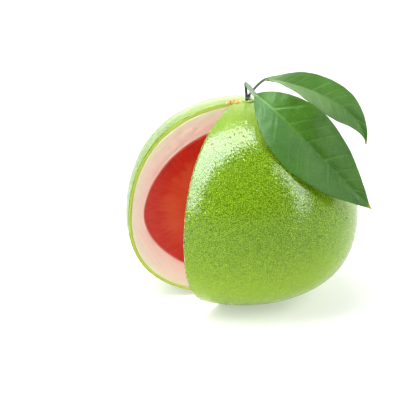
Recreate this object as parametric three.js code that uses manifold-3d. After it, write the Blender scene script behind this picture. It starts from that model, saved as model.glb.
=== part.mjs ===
// A pomelo with one wedge cut out of it and two leaves still on their stalks.
// Millimetres, +Z up. The origin is the middle of the small flat spot that the fruit rests on.
import * as THREE from "three";
import { mergeVertices } from "three/addons/utils/BufferGeometryUtils.js";
import Module from "manifold-3d";

// Driving dimensions.
const FRUIT_RADIUS = 80;
const FRUIT_HEIGHT = 138;
const REST_ANGLE = 0.18; // polar angle of the rest spot's rim, which makes the spot 37 mm across
const NECK_LAW = [1, 0.092, 0.176, 0.052]; // how the half-width draws in from the base to the neck
const GAP = 0.3; // between touching pieces

// The cut: two upright knife planes that meet in the core, just off the axis.
const CUT_APEX = new THREE.Vector2(-5.9, -4.1);
const CUT_AZIMUTHS = [192.2, 243.3].map(THREE.MathUtils.degToRad);

// The stem: a flat calyx button with the stub of the twig on it.
const STEM_PLACE = new THREE.Vector2(3.6, 0);
const BUTTON_RADIUS = 4.6;
const BUTTON_HEIGHT = 0.9;
const STUB_RADIUS = 2.6;
const STUB_HEIGHT = 1.3;

// The leaves: leathery blades on thin round stalks.
const BLADE_THICKNESS = 0.6;
const STALK_RADIUS = 0.7;
const BLADE_BASE_HALF_WIDTH = 0.8;
const BLADE_TIP_HALF_WIDTH = 0.25;
const STALK_FOOT = FRUIT_HEIGHT + BUTTON_HEIGHT + STUB_HEIGHT + 2 * GAP;

// Fineness of the facets.
const FRUIT_RINGS = 32;
const FRUIT_SIDES = 72;
const BLADE_LENGTH_STEPS = 30;
const BLADE_WIDTH_STEPS = 6;
const STALK_SIDES = 8;
const STALK_STEPS = 16;

const UP = new THREE.Vector3(0, 0, 1);
const point = (x, y, z) => new THREE.Vector3(x, y, z);

const wasm = await Module();
wasm.setup();

// A closed three.js geometry as a manifold solid.
function solidOf(geometry) {
  const bare = geometry.clone();
  bare.deleteAttribute("normal");
  bare.deleteAttribute("uv");
  const merged = mergeVertices(bare, 1e-3);
  const mesh = new wasm.Mesh({
    numProp: 3,
    vertProperties: merged.attributes.position.array,
    triVerts: new Uint32Array(merged.index.array),
  });
  return new wasm.Manifold(mesh);
}

// A manifold solid as a three.js geometry.
function geometryOf(solid) {
  const mesh = solid.getMesh();
  const geometry = new THREE.BufferGeometry();
  const positions = new THREE.BufferAttribute(new Float32Array(mesh.vertProperties), 3);
  geometry.setAttribute("position", positions);
  geometry.setIndex(new THREE.BufferAttribute(mesh.triVerts, 1));
  geometry.computeVertexNormals();
  return geometry;
}

// Half-width of the uncut fruit at polar angle t, from 0 under the base to PI at the top, unscaled.
function neckHalfWidth(t) {
  const c = Math.cos(t);
  return Math.sin(t) * NECK_LAW.reduce((sum, k, power) => sum + k * c ** power, 0);
}

// Outline of the fruit from the middle of its rest spot, round its side, to the top of its neck.
function fruitProfile() {
  const angles = Array.from(
    { length: FRUIT_RINGS + 1 },
    (_, i) => REST_ANGLE + ((Math.PI - REST_ANGLE) * i) / FRUIT_RINGS,
  );
  const widest = Math.max(...Array.from({ length: 1000 }, (_, i) => neckHalfWidth((Math.PI * i) / 1000)));
  const base = Math.cos(REST_ANGLE);
  const rim = angles.map((t) => {
    const r = (FRUIT_RADIUS * neckHalfWidth(t)) / widest;
    const z = (FRUIT_HEIGHT * (base - Math.cos(t))) / (base + 1);
    return new THREE.Vector2(Math.max(r, 0), z);
  });
  rim[rim.length - 1].x = 0;
  return [new THREE.Vector2(0, 0), ...rim];
}

// A lathe turned about Z instead of Y, its profile given upwards from the lowest point.
function turned(profile, sides) {
  return new THREE.LatheGeometry(profile, sides).rotateX(Math.PI / 2);
}

// The wedge that the knife took out, as a prism that runs past the fruit on every open side.
function wedge() {
  const reach = 2.5 * FRUIT_RADIUS;
  const margin = 10;
  const corners = CUT_AZIMUTHS.map((azimuth) =>
    CUT_APEX.clone().add(new THREE.Vector2(Math.cos(azimuth), Math.sin(azimuth)).multiplyScalar(reach)),
  );
  const outline = new THREE.Shape([CUT_APEX, ...corners]);
  const depth = FRUIT_HEIGHT + 2 * margin;
  return new THREE.ExtrudeGeometry(outline, { depth, bevelEnabled: false }).translate(0, 0, -margin);
}

function fruitGeometry() {
  const whole = solidOf(turned(fruitProfile(), FRUIT_SIDES));
  return geometryOf(whole.subtract(solidOf(wedge())));
}

function stemGeometry() {
  const profile = [
    new THREE.Vector2(0, 0),
    new THREE.Vector2(BUTTON_RADIUS, 0),
    new THREE.Vector2(BUTTON_RADIUS, BUTTON_HEIGHT / 2),
    new THREE.Vector2(0.8 * BUTTON_RADIUS, BUTTON_HEIGHT),
    new THREE.Vector2(STUB_RADIUS, BUTTON_HEIGHT),
    new THREE.Vector2(0.9 * STUB_RADIUS, BUTTON_HEIGHT + STUB_HEIGHT),
    new THREE.Vector2(0, BUTTON_HEIGHT + STUB_HEIGHT),
  ];
  return turned(profile, 24);
}

// A round stalk along a smooth curve through the given points.
function stalk(points) {
  const section = new THREE.Shape();
  section.absarc(0, 0, STALK_RADIUS, 0, 2 * Math.PI, false);
  const extrudePath = new THREE.CatmullRomCurve3(points, false, "catmullrom", 0.5);
  return new THREE.ExtrudeGeometry(section, {
    curveSegments: STALK_SIDES,
    steps: STALK_STEPS,
    bevelEnabled: false,
    extrudePath,
  });
}

// A thin strip laid along a curve. halfWidth gives its half-width at each share s of the length,
// roll turns it about the curve, fold lifts both halves into a V and curl rolls their edges down.
function strip({ curve, halfWidth, roll, fold, curl, thickness }) {
  const grid = new THREE.BoxGeometry(1, 2, thickness, BLADE_LENGTH_STEPS, BLADE_WIDTH_STEPS, 1);
  const positions = grid.attributes.position;
  for (let i = 0; i < positions.count; i++) {
    const s = positions.getX(i) + 0.5;
    const across = positions.getY(i);
    const along = curve.getTangentAt(s);
    const flatSide = UP.clone().cross(along).normalize();
    const turn = new THREE.Quaternion().setFromAxisAngle(along, THREE.MathUtils.lerp(...roll, s));
    const side = flatSide.applyQuaternion(turn);
    const normal = along.clone().cross(side);
    const reach = halfWidth(s) * across;
    const lift = Math.abs(reach) * Math.sin(fold) - curl * reach ** 2 + positions.getZ(i);
    const place = curve.getPointAt(s).addScaledVector(side, reach * Math.cos(fold));
    place.addScaledVector(normal, lift);
    positions.setXYZ(i, place.x, place.y, place.z);
  }
  return grid;
}

// Half-width of a leaf blade: s^base (1 - s)^tip, scaled to its greatest half-width.
function bladeHalfWidth({ greatest, base, tip }) {
  const peak = base / (base + tip);
  const peakValue = peak ** base * (1 - peak) ** tip;
  return (s) => {
    const law = (greatest * s ** base * (1 - s) ** tip) / peakValue;
    return law + THREE.MathUtils.lerp(BLADE_BASE_HALF_WIDTH, BLADE_TIP_HALF_WIDTH, s);
  };
}

// One leaf: its blade on the midrib curve, joined to its stalk, with a narrow wing where it has one.
function leafGeometry(leaf) {
  const curve = new THREE.CubicBezierCurve3(...leaf.midrib);
  const blade = strip({
    curve,
    halfWidth: bladeHalfWidth(leaf.outline),
    roll: leaf.roll.map(THREE.MathUtils.degToRad),
    fold: THREE.MathUtils.degToRad(leaf.foldDegrees),
    curl: leaf.curl,
    thickness: BLADE_THICKNESS,
  });
  let solid = solidOf(blade).add(solidOf(stalk([...leaf.stalk, leaf.midrib[0], curve.getPointAt(0.02)])));
  if (leaf.wing) {
    const wing = strip({
      curve: new THREE.CatmullRomCurve3(leaf.wing.path, false, "catmullrom", 0.5),
      halfWidth: (s) => STALK_RADIUS + leaf.wing.halfWidth * Math.sin(Math.PI * s),
      roll: leaf.wing.roll.map(THREE.MathUtils.degToRad),
      fold: 0,
      curl: 0,
      thickness: BLADE_THICKNESS,
    });
    solid = solid.add(solidOf(wing));
  }
  return geometryOf(solid);
}

const FRONT_STALK = [
  point(2.8, -1, STALK_FOOT),
  point(2.3, -1.4, 147),
  point(2, -3, 151.3),
  point(3.6, -9, 151.6),
  point(6, -17, 150.4),
];
const FRONT_LEAF = {
  midrib: [point(8.4, -24, 149.4), point(26, -50, 145), point(54.5, -52, 110.5), point(87.4, -42.5, 75.5)],
  outline: { greatest: 22.6, base: 0.98, tip: 1.18 },
  roll: [46, 58],
  foldDegrees: 7,
  curl: 0.003,
  stalk: FRONT_STALK,
  wing: { path: [...FRONT_STALK.slice(2), point(8.4, -24, 149.4)], halfWidth: 1.2, roll: [0, 20] },
};
const BACK_LEAF = {
  midrib: [point(15.2, 10.6, 150.2), point(45, 19.4, 144.5), point(82, 9.7, 131.2), point(85.1, 11.3, 104)],
  outline: { greatest: 17.4, base: 0.89, tip: 1.4 },
  roll: [-5, 60],
  foldDegrees: 9.5,
  curl: 0.0034,
  stalk: [point(4.4, 1, STALK_FOOT), point(4.7, 1.3, 142.2), point(7, 3.6, 144.5), point(11.2, 7, 148.2)],
};

// Finishes.
const rind = new THREE.MeshStandardMaterial({ color: 0x8eb322, roughness: 0.42, metalness: 0 });
const bark = new THREE.MeshStandardMaterial({ color: 0x45551b, roughness: 0.8, metalness: 0 });
const leafGreen = new THREE.MeshStandardMaterial({ color: 0x4a7c35, roughness: 0.45, metalness: 0 });

function piece(name, geometry, material) {
  const mesh = new THREE.Mesh(geometry, material);
  mesh.name = name;
  return mesh;
}

const stem = piece("stem", stemGeometry(), bark);
stem.position.set(STEM_PLACE.x, STEM_PLACE.y, FRUIT_HEIGHT + GAP);

const pomelo = new THREE.Group();
pomelo.add(
  piece("fruit", fruitGeometry(), rind),
  stem,
  piece("leaf_front", leafGeometry(FRONT_LEAF), leafGreen),
  piece("leaf_back", leafGeometry(BACK_LEAF), leafGreen),
);

export default pomelo;
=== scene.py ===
"""A pomelo with one wedge cut out of it and two leaves on their stalks.

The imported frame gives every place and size. Each part of the fruit is a class that shapes its
own meshes and dresses them, and each finish is a small class that makes one material.
Lengths are metres, +Z is up and the cut opens between -X and -Y.
"""

import logging
import math
from collections.abc import Sequence
from dataclasses import dataclass, field
from enum import Enum
from itertools import product

import bmesh
import bpy
import numpy as np
from mathutils import Matrix, Vector


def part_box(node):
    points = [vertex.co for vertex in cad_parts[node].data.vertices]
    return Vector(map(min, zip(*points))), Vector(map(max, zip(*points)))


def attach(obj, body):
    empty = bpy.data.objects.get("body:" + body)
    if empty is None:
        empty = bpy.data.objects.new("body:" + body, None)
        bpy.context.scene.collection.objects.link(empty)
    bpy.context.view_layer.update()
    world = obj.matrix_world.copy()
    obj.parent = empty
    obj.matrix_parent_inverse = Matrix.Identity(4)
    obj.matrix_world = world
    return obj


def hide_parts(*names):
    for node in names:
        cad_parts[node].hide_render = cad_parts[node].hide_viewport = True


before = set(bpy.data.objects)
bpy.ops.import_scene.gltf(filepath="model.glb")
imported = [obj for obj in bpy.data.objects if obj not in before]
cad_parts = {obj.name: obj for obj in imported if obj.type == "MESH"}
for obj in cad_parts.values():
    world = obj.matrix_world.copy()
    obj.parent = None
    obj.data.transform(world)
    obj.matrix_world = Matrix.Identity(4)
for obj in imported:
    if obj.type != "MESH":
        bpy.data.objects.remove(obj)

LOG = logging.getLogger("pomelo")
MM = 0.001
BODY = "root"
CAP = 3  # rings of the fruit that lie past each end of the cut

Array = np.ndarray
Faces = list[list[int]]
Pair = tuple[float, float]
Triple = tuple[float, float, float]
Piece = bpy.types.Object
Material = bpy.types.Material
Node = bpy.types.Node
Socket = bpy.types.NodeSocket
Value = Socket | float


class Slot(Enum):
    """Material slots by name."""

    RIND = "rind"
    PITH = "pith"
    FLESH = "flesh"
    STEM = "stem"
    LEAF = "leaf"


class Cut(Enum):
    """The two knife cuts, by the azimuth that each half-plane runs out along, in degrees."""

    FAR = 192.2
    NEAR = 243.3


# ---------------------------------------------------------------- numbers and meshes


def linear(code: str) -> tuple[float, float, float, float]:
    """Turns a colour code such as "8eb322" into the scene's linear colour."""
    parts = [int(code[i : i + 2], 16) / 255 for i in (0, 2, 4)]
    scaled = [p / 12.92 if p <= 0.04045 else ((p + 0.055) / 1.055) ** 2.4 for p in parts]
    return (scaled[0], scaled[1], scaled[2], 1.0)


def joined(parts: Sequence[Array]) -> Array:
    """Arrays one after another."""
    return np.concatenate(parts)


def unit(vectors: Array) -> Array:
    """Scales each row to length one."""
    return vectors / np.maximum(np.linalg.norm(vectors, axis=-1, keepdims=True), 1e-12)


def smooth(low: float, high: float, x: Array) -> Array:
    """Eases from 0 at low to 1 at high."""
    t = np.clip((x - low) / (high - low), 0, 1)
    return t * t * (3 - 2 * t)


def bell(x: Array) -> Array:
    """A smooth hump, 1 at x = 0 and next to nothing past x = 2."""
    return np.exp(-(x**2))


def walked(line: Array) -> Array:
    """Distance from the start of a line to each of its points."""
    return joined([[0], np.linalg.norm(np.diff(line, axis=0), axis=1).cumsum()])


def circle(count: int) -> Array:
    """Even angles once round a circle."""
    return np.linspace(0, 2 * math.pi, count, endpoint=False)


def ripple(points: Array, pitch: float, seed: int, waves: int = 14) -> Array:
    """A soft random field between about -1 and 1.

    Args:
        points: places to read it at, one row each.
        pitch: the distance over which it changes.
        seed: picks the pattern.
        waves: how many plane waves make it up.

    Returns:
        One value for each point.
    """
    rng = np.random.default_rng(seed)
    total = np.zeros(len(points))
    for _ in range(waves):
        direction = unit(rng.normal(size=3)[None])[0]
        stretch = rng.uniform(0.6, 1.6)
        phase = rng.uniform(0, 2 * math.pi)
        total += np.sin(points @ direction * (2 * math.pi * stretch / pitch) + phase)
    return total / math.sqrt(waves / 2) / 1.6


def grid_faces(rows: int, columns: int, closed: bool = False, start: int = 0) -> Faces:
    """Quads over a rows by columns grid of vertices numbered along its rows."""
    return [
        [a + c, a + (c + 1) % columns, a + columns + (c + 1) % columns, a + columns + c]
        for a in range(start, start + (rows - 1) * columns, columns)
        for c in range(columns if closed else columns - 1)
    ]


def grid_rim(rows: int, columns: int) -> list[int]:
    """The vertices round the outside of such a grid, in order."""
    end = rows * columns - 1
    return [
        *range(columns - 1),
        *range(columns - 1, end, columns),
        *range(end, end - columns + 1, -1),
        *range(end - columns + 1, 0, -columns),
    ]


def band(a: Sequence[int], b: Sequence[int]) -> Faces:
    """Quads between two closed loops of vertices that run side by side."""
    return [[a[k - 1], b[k - 1], b[k], a[k]] for k in range(len(a))]


def fan(loop: Sequence[int], hub: int) -> Faces:
    """Triangles from a closed loop of vertices to one vertex."""
    return [[loop[k], loop[k - 1], hub] for k in range(len(loop))]


def add_object(name: str, data: bpy.types.ID) -> Piece:
    """Makes an object at the origin and puts it in the scene."""
    thing = bpy.data.objects.new(name, data)
    bpy.context.scene.collection.objects.link(thing)
    return thing


def mesh_object(
    name: str,
    vertices: Array,
    faces: Faces,
    values: dict[str, Array] | None = None,
    merge: float = 0.0,
) -> Piece:
    """Makes a smooth-shaded mesh object.

    Args:
        name: the piece's name.
        vertices: one row for each vertex.
        faces: corner numbers of each face.
        values: named values, one for each vertex, as numbers or as vectors.
        merge: distance within which doubled vertices are joined, or 0. Joining them also turns
            the faces of the closed mesh outwards.

    Returns:
        The object, at the origin.
    """
    mesh = bpy.data.meshes.new(name)
    mesh.from_pydata(vertices.tolist(), [], [list(f) for f in faces])
    for key, numbers in (values or {}).items():
        kind, part = ("FLOAT", "value") if numbers.ndim == 1 else ("FLOAT_VECTOR", "vector")
        mesh.attributes.new(key, kind, "POINT").data.foreach_set(part, numbers.ravel())
    if merge:
        work = bmesh.new()
        work.from_mesh(mesh)
        bmesh.ops.remove_doubles(work, verts=work.verts, dist=merge)
        bmesh.ops.recalc_face_normals(work, faces=work.faces)
        work.to_mesh(mesh)
        work.free()
    mesh.shade_smooth()
    return add_object(name, mesh)


# ---------------------------------------------------------------- nodes


class Wiring:
    """Adds nodes to one node tree and joins them up."""

    def __init__(self, tree: bpy.types.NodeTree) -> None:
        """Keeps the tree."""
        self.tree = tree

    def feed(self, node: Node, inputs: dict) -> None:
        """Links a socket to, or sets a value on, each input given by its name or number."""
        for key, value in inputs.items():
            if isinstance(value, Socket):
                self.tree.links.new(value, node.inputs[key])
            else:
                node.inputs[key].default_value = value

    def add(self, kind: str, inputs: dict | None = None, **settings: object) -> Node:
        """Adds a node.

        Args:
            kind: the node's type name.
            inputs: value or socket for each input, by its name or number.
            settings: the node's own properties.

        Returns:
            The node.
        """
        node = self.tree.nodes.new(kind)
        for key, value in settings.items():
            setattr(node, key, value)
        self.feed(node, inputs or {})
        return node

    def math(self, operation: str, *values: Value) -> Socket:
        """The result of one sum on numbers or sockets."""
        return self.add("ShaderNodeMath", dict(enumerate(values)), operation=operation).outputs[0]

    def plus(self, a: Value, b: Value) -> Socket:
        """Two numbers added up."""
        return self.math("ADD", a, b)

    def times(self, a: Value, b: Value) -> Socket:
        """Two numbers multiplied."""
        return self.math("MULTIPLY", a, b)

    def rest(self, a: Value) -> Socket:
        """What is left of one."""
        return self.math("SUBTRACT", 1.0, a)

    def ease(self, value: Socket, low: Value, high: Value) -> Socket:
        """A number eased from 0 at low to 1 at high."""
        ends = {"Value": value, "From Min": low, "From Max": high}
        node = self.add("ShaderNodeMapRange", ends, interpolation_type="SMOOTHSTEP")
        return node.outputs["Result"]

    def part(self, vector: Socket, axis: int) -> Socket:
        """One of the three numbers of a vector or colour."""
        return self.add("ShaderNodeSeparateXYZ", {0: vector}).outputs[axis]

    def cells(self, place: Socket, scale: float, scatter: float, feature: str) -> Node:
        """A pattern of random cells.

        Args:
            place: where it is read.
            scale: cells to a unit of length.
            scatter: how far the cells stray from an even grid, from 0 to 1.
            feature: what the node measures, by its own name.

        Returns:
            The node, for its distance or its colour.
        """
        inputs = {"Vector": place, "Scale": scale, "Randomness": scatter}
        return self.add("ShaderNodeTexVoronoi", inputs, feature=feature)


class Paint(Wiring):
    """One material in the making, with its nodes and its surface shader."""

    def __init__(self, name: str) -> None:
        """Starts a material under a name."""
        self.material = bpy.data.materials.new(name)
        self.material.use_nodes = True
        super().__init__(self.material.node_tree)
        self.place = self.add("ShaderNodeTexCoord").outputs["Object"]

    def mix(self, share: Value, a: Socket | str, b: Socket | str, blend: str = "MIX") -> Socket:
        """One colour laid over another.

        Args:
            share: how much of the second colour shows.
            a: the first colour, as a socket or a colour code.
            b: the second colour.
            blend: the way the two are blended.

        Returns:
            The mixed colour.
        """
        below, above = (linear(c) if isinstance(c, str) else c for c in (a, b))
        inputs = {0: share, 6: below, 7: above}
        node = self.add("ShaderNodeMix", inputs, data_type="RGBA", blend_type=blend)
        return node.outputs[2]

    def noise(self, scale: float, detail: float, distortion: float = 0.0) -> Socket:
        """Soft random clouds, fixed to the piece."""
        inputs = {"Vector": self.place, "Scale": scale, "Detail": detail}
        return self.add("ShaderNodeTexNoise", {**inputs, "Distortion": distortion}).outputs[0]

    def edges(self, scale: float, scatter: float = 1.0) -> Socket:
        """Distance from the walls of a pattern of random cells, fixed to the piece."""
        node = self.cells(self.place, scale, scatter, "DISTANCE_TO_EDGE")
        return node.outputs["Distance"]

    def bump(self, height: Socket, strength: float, distance: float) -> Socket:
        """Surface directions that follow a fine relief."""
        inputs = {"Height": height, "Strength": strength, "Distance": distance}
        return self.add("ShaderNodeBump", inputs).outputs[0]

    def read(self, name: str) -> Socket:
        """A number kept on the mesh."""
        return self.add("ShaderNodeAttribute", attribute_name=name).outputs["Fac"]

    def done(self, looks: dict[str, object]) -> Material:
        """Feeds the surface shader and hands over the material."""
        self.feed(self.tree.nodes["Principled BSDF"], looks)
        return self.material


class Grower(Wiring):
    """Builds and runs one geometry node tree on a mesh, and leaves a plain mesh behind."""

    def __init__(self, name: str, sizes: dict[str, float]) -> None:
        """Starts a tree.

        Args:
            name: the tree's name.
            sizes: its named number inputs and their values.
        """
        super().__init__(bpy.data.node_groups.new(name, "GeometryNodeTree"))
        face = self.tree.interface
        for way in ("INPUT", "OUTPUT"):
            face.new_socket("Geometry", in_out=way, socket_type="NodeSocketGeometry")
        self.settings = {}
        for label, value in sizes.items():
            socket = face.new_socket(label, in_out="INPUT", socket_type="NodeSocketFloat")
            self.settings[socket.identifier] = float(value)
        finish = face.new_socket("Finish", in_out="INPUT", socket_type="NodeSocketMaterial")
        self.finish_key = finish.identifier
        self.given = self.add("NodeGroupInput").outputs

    def field(self, name: str, kind: str = "FLOAT") -> Socket:
        """A value kept on the mesh."""
        node = self.add("GeometryNodeInputNamedAttribute", {"Name": name}, data_type=kind)
        return node.outputs["Attribute"]

    def keep(self, geometry: Socket, name: str, value: Socket) -> Socket:
        """Keeps a number on the mesh under a name, and returns the geometry."""
        inputs = {"Geometry": geometry, "Name": name, "Value": value}
        return self.add("GeometryNodeStoreNamedAttribute", inputs).outputs["Geometry"]

    def scaled(self, vector: Socket, length: Value) -> Socket:
        """A vector multiplied by a number."""
        node = self.add("ShaderNodeVectorMath", {0: vector, "Scale": length}, operation="SCALE")
        return node.outputs[0]

    def moved(self, geometry: Socket, offset: Socket) -> Socket:
        """A mesh with its points moved."""
        inputs = {"Geometry": geometry, "Offset": offset}
        return self.add("GeometryNodeSetPosition", inputs).outputs["Geometry"]

    def random(self, low: Sequence[float], high: Sequence[float], seed: Socket) -> Socket:
        """A random vector for each point, between two corners."""
        inputs = {"Min": low, "Max": high, "Seed": seed}
        return self.add("FunctionNodeRandomValue", inputs, data_type="FLOAT_VECTOR").outputs[0]

    def run(
        self, geometry: Socket, thing: Piece, finish: Material
    ) -> Piece:
        """Ends the tree, runs it on an object and keeps the result as the object's plain mesh.

        Args:
            geometry: the last geometry socket of the tree's own nodes.
            thing: the object whose mesh goes in.
            finish: the material of what comes out.

        Returns:
            The same object with its new mesh.
        """
        real = self.add("GeometryNodeRealizeInstances", {"Geometry": geometry}).outputs[0]
        inputs = {"Geometry": real, "Material": self.given["Finish"]}
        dressed = self.add("GeometryNodeSetMaterial", inputs).outputs[0]
        self.add("NodeGroupOutput", {"Geometry": dressed})
        modifier = thing.modifiers.new(self.tree.name, "NODES")
        modifier.node_group = self.tree
        for key, value in {**self.settings, self.finish_key: finish}.items():
            modifier[key] = value
        seen = thing.evaluated_get(bpy.context.evaluated_depsgraph_get())
        mesh = bpy.data.meshes.new_from_object(seen)
        thing.modifiers.remove(modifier)
        plain = thing.data
        thing.data = mesh
        bpy.data.meshes.remove(plain)
        mesh.name = thing.name
        mesh.shade_smooth()
        return thing


def dressed(thing: Piece, finish: Material) -> Piece:
    """Gives a piece its finish."""
    thing.data.materials.append(finish)
    return thing


def declare(thing: Piece, node: str) -> None:
    """Hangs a piece on its body, hides the node it stands for and logs its faces and size."""
    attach(thing, BODY)
    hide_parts(node)
    spots = np.array([v.co for v in thing.data.vertices])
    size = (spots.max(0) - spots.min(0)) / MM
    LOG.info("%s: %d faces, %.1f x %.1f x %.1f mm", thing.name, len(thing.data.polygons), *size)


# ---------------------------------------------------------------- finishes


def soaked(weight: float, spread: Triple, depth: float) -> dict[str, object]:
    """Settings for light that soaks into a piece and comes out again, spread by colour."""
    return {"Subsurface Weight": weight, "Subsurface Radius": spread, "Subsurface Scale": depth}


@dataclass(frozen=True)
class RindFinish:
    """Waxy green skin with pale winding ridges, a light dot on each gland, a creamy section and a
    base painted paler as reflection of the bright floor.
    """

    deep: str = "436800"
    mid: str = "648802"
    light: str = "98bf2a"
    neck: str = "9dbd50"
    # painted reflection: the paler colour laid on the lower skin for the bright floor's reflection
    base: str = "9bbb22"
    cut_green: str = "aeca32"
    cream: str = "fbeec8"
    mid_share: float = 0.25
    neck_share: float = 0.8
    painted_reflection_share: float = 0.6
    patch_scale: float = 22.0
    wax_scale: float = 420.0
    worm_scale: float = 1500.0
    cell_scale: float = 860.0
    roughness: float = 0.3
    relief: float = 0.22 * MM

    def ridges(self, w: Paint) -> Socket:
        """Winding ridges, from 0 in the furrows to 1 on top."""
        worm = w.times(w.noise(self.worm_scale, 1.0, distortion=0.7), 0.8)
        cell = w.times(w.ease(w.edges(self.cell_scale, 0.85), 0.0, 0.35), 0.3)
        return w.ease(w.plus(worm, cell), 0.3, 0.72)

    def material(self, top: float) -> Material:
        """Makes the material.

        Args:
            top: the height of the fruit, where the skin is palest.

        Returns:
            The material.
        """
        w = Paint("rind")
        height = w.part(w.place, 2)
        ridge = self.ridges(w)
        wax = w.noise(self.wax_scale, 2.0)
        mottle = w.plus(w.times(ridge, 0.75), w.times(w.read("gland"), 0.3))
        skin = w.mix(w.ease(mottle, 0.0, 1.05), self.deep, self.light)
        patches = w.ease(w.noise(self.patch_scale, 3.0), 0.3, 0.7)
        upper = w.ease(height, 0.84 * top, top)
        # painted reflection of the bright floor: the skin is made paler towards the bottom
        lower = w.rest(w.ease(height, 0.08 * top, 0.5 * top))
        skin = w.mix(w.times(patches, self.mid_share), skin, self.mid)
        skin = w.mix(w.times(upper, self.neck_share), skin, self.neck)
        skin = w.mix(w.times(lower, self.painted_reflection_share), skin, self.base)
        section = w.mix(w.read("creamy"), self.cut_green, self.cream)
        return w.done(
            {
                "Base Color": w.mix(w.ease(w.read("edge"), 0.35, 0.85), skin, section),
                "Roughness": w.plus(self.roughness, w.times(wax, 0.16)),
                "Normal": w.bump(w.plus(ridge, w.times(wax, 0.5)), 0.9, self.relief),
                **soaked(0.1, (0.9, 1.0, 0.25), 1 * MM),
                "Specular IOR Level": 0.0,
                "Coat Weight": 1.0,
                "Coat IOR": 1.36,
                "Coat Roughness": 0.17,
            }
        )


@dataclass(frozen=True)
class PithFinish:
    """Soft spongy pith, cream under the skin and pink against the flesh."""

    cream: str = "dccdb8"
    warm: str = "dfc2b2"
    blush: str = "dfaa9a"
    green: str = "d3daa6"
    cloud_scale: float = 60.0
    fibre_scale: float = 900.0

    def material(self) -> Material:
        """Makes the material."""
        w = Paint("pith")
        depth = w.read("depth")
        cloud = w.noise(self.cloud_scale, 4.0)
        shifted = w.plus(depth, w.times(w.math("SUBTRACT", cloud, 0.5), 0.7))
        colour = w.mix(w.ease(shifted, -0.1, 0.24), self.blush, self.warm)
        colour = w.mix(w.ease(shifted, 0.2, 0.8), colour, self.cream)
        return w.done(
            {
                "Base Color": w.mix(w.ease(depth, 0.78, 1.0), colour, self.green),
                "Normal": w.bump(w.noise(self.fibre_scale, 3.0), 0.3, 0.4 * MM),
                "Roughness": 0.62,
                **soaked(0.35, (1.0, 0.6, 0.4), 4 * MM),
            }
        )


@dataclass(frozen=True)
class FleshFinish:
    """Wet juice cells, red, each a little lighter or darker, with pale walls between them."""

    dark: str = "9a1409"
    red: str = "b4220f"
    bright: str = "c4502c"
    wall: str = "ee8d73"
    cloud_scale: float = 45.0
    grain_scale: float = 700.0

    def material(self) -> Material:
        """Makes the material."""
        w = Paint("flesh")
        rim = w.read("rim")
        cloud = w.times(w.noise(self.cloud_scale, 3.0), 0.7)
        middle = w.times(w.rest(w.ease(rim, 0.45, 1.05)), 0.35)
        shade = w.plus(w.plus(w.times(w.read("tone"), 0.1), cloud), middle)
        colour = w.mix(w.ease(shade, 0.12, 0.45), self.dark, self.red)
        colour = w.mix(w.ease(shade, 0.5, 0.95), colour, self.bright)
        colour = w.mix(w.times(w.read("groove"), 0.05), colour, self.wall)
        return w.done(
            {
                "Base Color": w.mix(w.times(w.ease(rim, 0.965, 1.0), 0.7), colour, self.wall),
                "Normal": w.bump(w.noise(self.grain_scale, 3.0), 0.25, 0.3 * MM),
                "Roughness": 0.28,
                **soaked(0.4, (1.0, 0.22, 0.12), 4 * MM),
                "Specular IOR Level": 0.2,
                "Coat Weight": 0.15,
                "Coat Roughness": 0.15,
            }
        )


@dataclass(frozen=True)
class FibreFinish:
    """Torn bundles at the top of the core, yellow to rusty."""

    pale: str = "efcf6a"
    rust: str = "c0701c"
    patch_scale: float = 420.0

    def material(self) -> Material:
        """Makes the material."""
        w = Paint("core_fibre")
        patch = w.ease(w.noise(self.patch_scale, 2.0), 0.48, 0.62)
        return w.done(
            {
                "Base Color": w.mix(patch, self.pale, self.rust),
                "Roughness": 0.6,
                **soaked(0.2, (1.0, 0.2, 0.1), 1 * MM),
            }
        )


@dataclass(frozen=True)
class LeafFinish:
    """Leathery green leaf with paler veins, a dull underside, a yellowed tip and a painted sheen,
    pale and bluish, on one half of the blade and near its base.
    """

    name: str
    deep: str = "2a5409"
    green: str = "3b670f"
    vein: str = "75a352"
    under: str = "7c9a5c"
    tip: str = "b3a93a"
    # painted sheen: the pale bluish colour laid where light reflects off the blade
    painted_sheen_colour: str = "426d39"
    painted_sheen_share: float = 0.6
    base_painted_sheen: float = 0.0
    cloud_scale: float = 38.0
    net_scale: float = 520.0

    def material(self) -> Material:
        """Makes the material."""
        w = Paint(self.name)
        along = w.read("along")
        cloud = w.noise(self.cloud_scale, 4.0)
        net = w.rest(w.ease(w.edges(self.net_scale), 0.0, 0.18))
        # painted sheen near the base of the blade
        base = w.rest(w.ease(along, 0.0, 0.22))
        colour = w.mix(w.ease(cloud, 0.3, 0.7), self.deep, self.green)
        for share, laid in (
            # painted sheen on one half of the blade and near its base
            (w.times(w.read("painted_sheen"), self.painted_sheen_share), self.painted_sheen_colour),
            (w.times(base, self.base_painted_sheen), self.painted_sheen_colour),
            (w.times(net, 0.1), self.vein),
            (w.times(w.read("vein"), 0.5), self.vein),
            (w.ease(along, 0.955, 1.0), self.tip),
            (w.times(w.read("below"), 0.8), self.under),
        ):
            colour = w.mix(share, colour, laid)
        return w.done(
            {
                "Base Color": colour,
                "Normal": w.bump(w.plus(w.times(net, -0.5), cloud), 0.25, 0.2 * MM),
                "Roughness": 0.42,
                "Specular IOR Level": 0.14,
                **soaked(0.08, (0.5, 1.0, 0.2), 1 * MM),
            }
        )


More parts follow.
